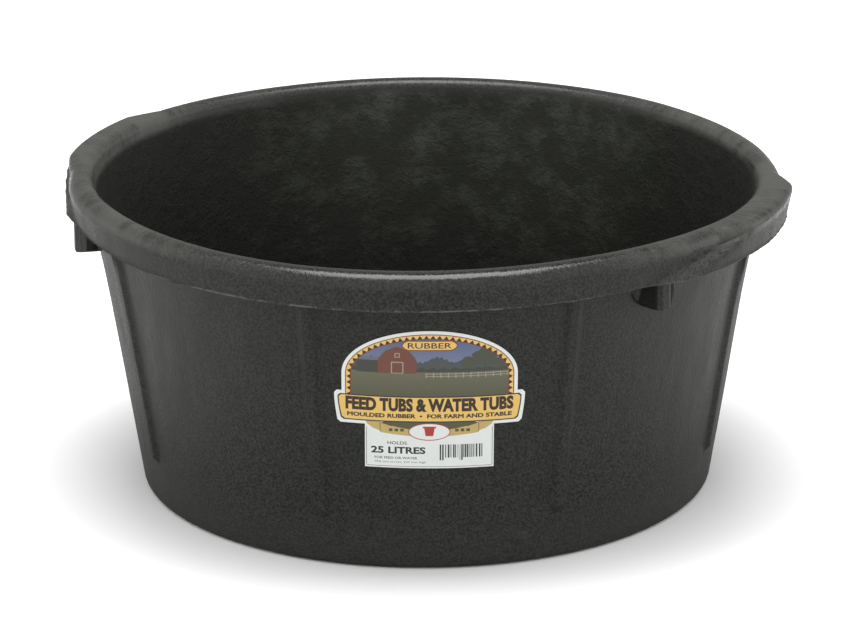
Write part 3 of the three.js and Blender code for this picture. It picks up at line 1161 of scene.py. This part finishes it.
def label_mesh(places, faces, inks):
    """Front and back skins of the sticker, joined round its edge."""
    tree = BVHTree.FromPolygons([v.co for v in shell.vertices], [p.vertices for p in shell.polygons])
    used = np.unique(faces)
    pivot = (ARCH_SPRING + ARCH_RISE) / 2
    spots = []
    for x, y in places[used]:
        across = x * cos(LABEL_TURN) - (y - pivot) * sin(LABEL_TURN)
        up = pivot + x * sin(LABEL_TURN) + (y - pivot) * cos(LABEL_TURN)
        spots.append((across * MM + LABEL_MIDDLE, up * MM + LABEL_BOTTOM))
    front = [on_wall(tree, x, z, LABEL_LIFT + LABEL_THICKNESS) for x, z in spots]
    back = [on_wall(tree, x, z, LABEL_LIFT) for x, z in spots]
    renumber = {old: new for new, old in enumerate(used)}
    faces = [[renumber[i] for i in face] for face in faces]
    count = len(front)
    sides = {}
    for a, b, c in faces:
        for edge in ((a, b), (b, c), (c, a)):
            sides[edge] = True
    rim = [(b, a, a + count, b + count) for a, b in sides if (b, a) not in sides]
    behind = [(c + count, b + count, a + count) for a, b, c in faces]
    mesh = bpy.data.meshes.new("printed_label")
    mesh.from_pydata(front + back, [], faces + behind + rim)
    colours = [c for face in inks for c in face]
    colours += [INKS["white"]] * (len(mesh.loops) - len(colours))
    layer_made = mesh.color_attributes.new("print", "FLOAT_COLOR", "CORNER")
    layer_made.data.foreach_set("color", [v for c in colours for v in (*c, 1.0)])
    return mesh


label = bpy.data.objects.new("printed_label", label_mesh(flat_places, flat_faces, flat_inks))
bpy.context.scene.collection.objects.link(label)
print("label has", len(label.data.polygons), "faces")

# %% [markdown]
# ## The label's finish
#
# Glossy printed film: the ink is slightly uneven, and the film has a faint orange peel. A little
# stable dust sits on it. The colours come from the corners of the mesh.

# %% The label material


def label_material():
    made, tree, surface = new_material("printed_film")
    place = wire(tree, "ShaderNodeTexCoord", "Object")
    printed = wire(tree, "ShaderNodeAttribute", "Color", attribute_name="print")
    screen = noise(tree, place, 900, 2, 0.6)
    cloud = noise(tree, place, 120, 3, 0.6)
    shade = ramp(tree, screen * 0.6 + cloud * 0.4, 0.3, 0.7, 0.0, 0.05)
    colour = mix_colour(tree, shade, printed, (0.10, 0.10, 0.09, 1))
    dirt = use_group(tree, dust, {"Place": place, "Specks": 0.2, "Smears": 0.15})["Dust"]
    colour = mix_colour(tree, dirt * 0.4, colour, (0.45, 0.43, 0.38, 1))
    plug(tree, colour, surface.inputs["Base Color"])
    plug(tree, cloud * 0.2 + 0.32 + dirt * 0.3, surface.inputs["Roughness"])
    skin = use_group(tree, grain, {"Place": place, "Crumb Size": 0.0015, "Lump Size": 0.012, "Lumps": 1.0})
    bump = node(tree, "ShaderNodeBump", {"Height": skin["Height"], "Strength": 0.12, "Distance": 0.0003})
    tree.links.new(bump.outputs["Normal"], surface.inputs["Normal"])
    return made


label.data.materials.append(label_material())
print("label material ready")

# %% [markdown]
# ## Floor, light and camera
#
# A pale sweep of floor, a room that is brightest in front and a large soft light overhead, as in a
# product studio. The camera stands well back with a long lens, a little under twenty degrees up.

# %% Stage


def floor_material():
    """Pale paper that bounces less light than the camera sees, so that the tub stays dark."""
    made, tree, surface = new_material("pale_floor")
    place = wire(tree, "ShaderNodeTexCoord", "Object")
    seen = wire(tree, "ShaderNodeLightPath", "Is Camera Ray")
    across = wire(tree, "ShaderNodeSeparateXYZ", "X", {"Vector": place})
    off_middle = across.math("ABSOLUTE")
    aside = ramp(tree, off_middle, 0.22, 0.45) * ramp(tree, off_middle, 0.8, 0.5, 0.1, 0.85)
    fibre = noise(tree, place, 300, 2) * 0.02
    paper = seen.math("MAXIMUM", aside) - fibre
    colour = mix_colour(tree, paper, (0.42, 0.42, 0.42, 1), (0.93, 0.93, 0.93, 1))
    plug(tree, colour, surface.inputs["Base Color"])
    surface.inputs["Roughness"].default_value = 0.9
    surface.inputs["Specular IOR Level"].default_value = 0.1
    return made


def make_floor(half=12.0, below=0.4 * MM):
    mesh = bpy.data.meshes.new("floor")
    corners = [(-half, -half, -below), (half, -half, -below), (half, half, -below), (-half, half, -below)]
    mesh.from_pydata(corners, [], [(0, 1, 2, 3)])
    mesh.materials.append(floor_material())
    made = bpy.data.objects.new("floor", mesh)
    bpy.context.scene.collection.objects.link(made)
    return made


def soft_light(name, place, aim, size, power):
    """A square soft box that points at a place."""
    lamp = bpy.data.lights.new(name, "AREA")
    lamp.size = size
    lamp.energy = power
    made = bpy.data.objects.new(name, lamp)
    made.location = place
    made.rotation_euler = (Vector(aim) - Vector(place)).to_track_quat("-Z", "Y").to_euler()
    bpy.context.scene.collection.objects.link(made)
    return made


def make_world():
    """A room that is bright in front and low at both sides, and dim behind."""
    world = bpy.data.worlds.new("bright room")
    world.use_nodes = True
    tree = world.node_tree
    backdrop = tree.nodes["Background"]
    direction = wire(tree, "ShaderNodeTexCoord", "Generated")
    parts = node(tree, "ShaderNodeSeparateXYZ", {"Vector": direction})
    across, behind, up = (Wire(tree, parts.outputs[axis]) for axis in "XYZ")
    side = ramp(tree, across.math("ABSOLUTE"), 0.35, 0.8) * ramp(tree, behind, -0.6, 0.0)
    side = side * ramp(tree, up, 0.5, 0.15)
    level = ROOM_FRONT + ramp(tree, behind, 0.1, 0.7) * (ROOM_BACK - ROOM_FRONT)
    level = level.math("MAXIMUM", side * ROOM_SIDE)
    level = level.math("MAXIMUM", ramp(tree, up, 0.45, 0.85) * ROOM_ABOVE)
    seen = wire(tree, "ShaderNodeLightPath", "Is Camera Ray")
    plug(tree, level * (1.0 - seen) + seen, backdrop.inputs["Strength"])
    backdrop.inputs["Color"].default_value = (1, 1, 1, 1)
    bpy.context.scene.world = world


ROOM_FRONT = 1.2
ROOM_SIDE = 0.8
ROOM_BACK = 0.35
ROOM_ABOVE = 0.5
floor = make_floor()
make_world()
soft_light("overhead soft box", (0, 0.12, 2.2), (0, 0.1, 0.1), 1.4, 46)
soft_light("left soft box", (-2.4, 0.9, 0.8), (0, 0, 0.15), 1.4, 2.5)
soft_light("right soft box", (2.4, 0.6, 0.8), (0, 0, 0.15), 1.4, 6)
print("stage ready")

# %% Camera
CAMERA_ELEVATION = radians(18.735)
CAMERA_DISTANCE = 3.0486
CAMERA_LENS = 195.04
CAMERA_ROLL = -0.0063
AIM = Vector((-0.0007, 0, 0.10197))


def make_camera():
    lens = bpy.data.cameras.new("camera")
    lens.lens = CAMERA_LENS
    lens.sensor_width = 36
    lens.clip_end = 100
    made = bpy.data.objects.new("camera", lens)
    back = Vector((0, -cos(CAMERA_ELEVATION), sin(CAMERA_ELEVATION)))
    made.location = AIM + back * CAMERA_DISTANCE
    made.rotation_euler = (pi / 2 - CAMERA_ELEVATION, 0, 0)
    made.rotation_euler.rotate_axis("Z", CAMERA_ROLL)
    bpy.context.scene.collection.objects.link(made)
    bpy.context.scene.camera = made
    return made


camera = make_camera()
bpy.context.scene.view_settings.view_transform = "Standard"
print("camera at", [round(c, 3) for c in camera.location])

# %% [markdown]
# ## Tie the looks to the frame
#
# Each piece rides on the part's one body and stands for its CAD solid.

# %% Hand over
for made, cad_node, slot in ((tub, "tub", "rubber"), (label, "label", "label_print")):
    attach(made, "root")
    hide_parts(cad_node)
